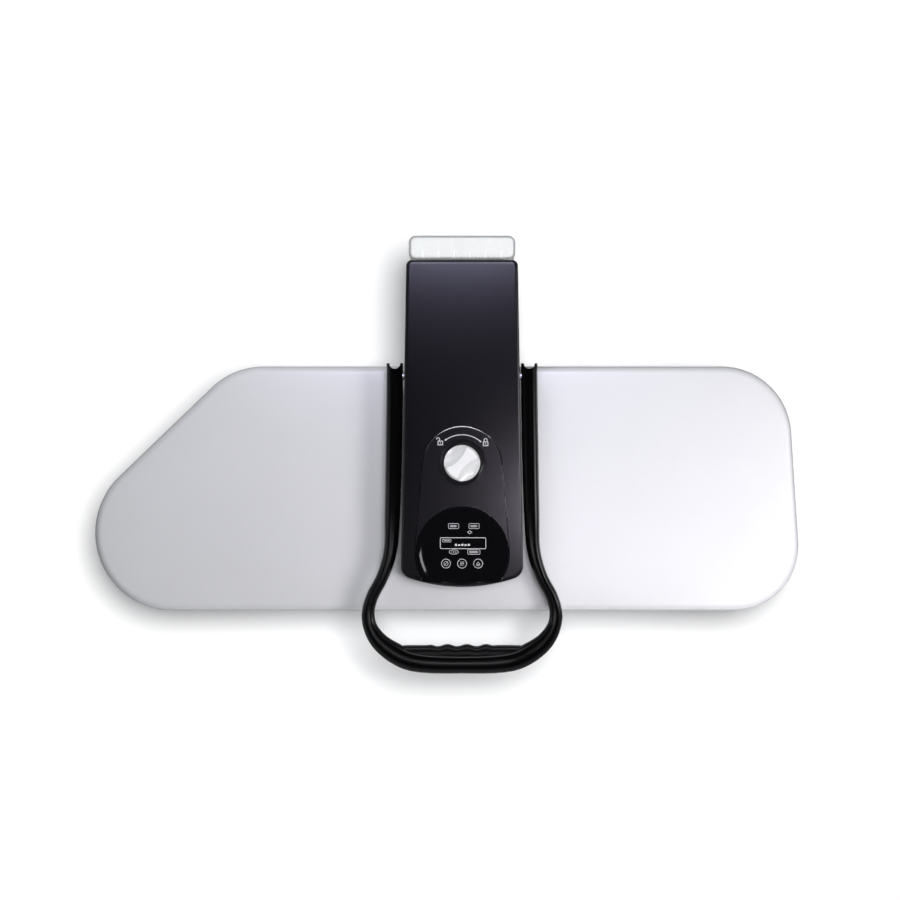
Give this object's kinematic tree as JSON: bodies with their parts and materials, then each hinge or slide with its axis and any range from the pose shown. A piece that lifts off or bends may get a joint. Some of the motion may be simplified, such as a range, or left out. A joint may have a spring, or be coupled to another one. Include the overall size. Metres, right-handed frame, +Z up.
{
  "type": "steam ironing press",
  "caption": "Tabletop steam ironing press with a padded board, a long heated head on a console arm, a locking handle loop and a slide-out water tank.",
  "frame": {"origin": "centre of the bounding box's bottom, on the surface that the feet stand on", "axes": "+X to the user's right along the head, +Y to the rear, towards the hinge and the tank, +Z up"},
  "size_m": [0.7043, 0.4362, 0.2163],
  "materials": {
    "white_shell": "satin white moulding",
    "silver_cover": "satin silver paint",
    "black_shell": "satin black moulding",
    "gloss_black": "polished black",
    "soft_black": "fine matte black",
    "steel": "plain steel",
    "cast_aluminium": "cast and ground",
    "knob_silver": "satin silver plating",
    "cover_cloth": "woven ironing cloth",
    "pad_foam": "felted pad",
    "clear_tank": "frosted clear plastic",
    "circuit_green": "coated board",
    "brass": "turned",
    "rubber": "moulded",
    "white_ink": "printed marks"
  },
  "bodies": {
    "stand": {"base_housing": "white_shell", "base_bottom_cover": "soft_black", "cord_inlet": "rubber", "foot_front_left": "rubber", "foot_front_right": "rubber", "foot_middle_left": "rubber", "foot_middle_right": "rubber", "foot_rear_left": "rubber", "foot_rear_right": "rubber", "board_pan": "steel", "board_pad": "pad_foam", "board_cover": "cover_cloth", "hinge_column": "steel", "column_cover": "soft_black", "hinge_shaft": "steel", "terminal_block": "white_shell"},
    "arm": {"hinge_bush_left": "brass", "hinge_bush_right": "brass", "arm_frame": "steel", "handle_bush_left": "brass", "handle_bush_right": "brass", "console_cover": "black_shell", "control_island": "soft_black", "panel_lens": "gloss_black", "console_lower_cover": "soft_black", "rear_shroud": "soft_black", "control_board": "circuit_green", "display_module": "gloss_black", "water_pump": "soft_black", "steam_hose": "rubber", "knob_ring": "soft_black", "balance_coil_left": "steel", "balance_coil_right": "steel", "water_hose": "rubber", "feed_hose": "rubber"},
    "knob": {"lock_knob": "knob_silver", "knob_spindle": "steel"},
    "bolt": {"lock_bolt": "steel"},
    "button_left": {"button_left": "gloss_black"},
    "button_middle": {"button_middle": "gloss_black"},
    "button_right": {"button_right": "gloss_black"},
    "handle": {"handle_loop": "gloss_black", "handle_grip": "soft_black", "handle_shaft": "black_shell", "pressure_cam_left": "steel", "pressure_cam_right": "steel"},
    "head": {"head_cover": "silver_cover", "soleplate": "cast_aluminium", "heating_element": "steel", "steam_chamber": "cast_aluminium", "thermostat": "brass", "heat_shield": "steel", "steam_nipple": "brass", "head_yoke": "steel"},
    "tank": {"water_tank": "clear_tank", "tank_cap": "soft_black", "tank_valve": "brass"}
  },
  "joints": [
    {"name": "arm_open", "type": "hinge", "parent": "stand", "child": "arm", "pos_m": [0.0155, 0.15, 0.13], "axis": [-1, 0, 0], "range_deg": [0, 45]},
    {"name": "head_press", "type": "slide", "parent": "arm", "child": "head", "axis": [0, 0, 1], "range_m": [0, 0.004]},
    {"name": "handle_lift", "type": "hinge", "parent": "arm", "child": "handle", "pos_m": [0.0155, 0.079, 0.184], "axis": [-1, 0, 0], "range_deg": [0, 25]},
    {"name": "lock_turn", "type": "hinge", "parent": "arm", "child": "knob", "pos_m": [0.0155, -0.008, 0.2], "axis": [0, 0, 1], "range_deg": [0, 90]},
    {"name": "bolt_slide", "type": "slide", "parent": "arm", "child": "bolt", "axis": [0, -1, 0], "range_m": [0, 0.008]},
    {"name": "press_left_button", "type": "slide", "parent": "arm", "child": "button_left", "axis": [0, 0, -1], "range_m": [0, 0.0008], "stiffness_N_per_m": 600},
    {"name": "press_middle_button", "type": "slide", "parent": "arm", "child": "button_middle", "axis": [0, 0, -1], "range_m": [0, 0.0008], "stiffness_N_per_m": 600},
    {"name": "press_right_button", "type": "slide", "parent": "arm", "child": "button_right", "axis": [0, 0, -1], "range_m": [0, 0.0008], "stiffness_N_per_m": 600},
    {"name": "tank_pull", "type": "slide", "parent": "arm", "child": "tank", "axis": [0, 1, 0], "range_m": [0, 0.12]}
  ],
  "couplings": [
    {"joint": "handle_lift", "follows": "head_press", "rad_per_m": 109},
    {"joint": "bolt_slide", "follows": "lock_turn", "m_per_rad": 0.005092}
  ]
}
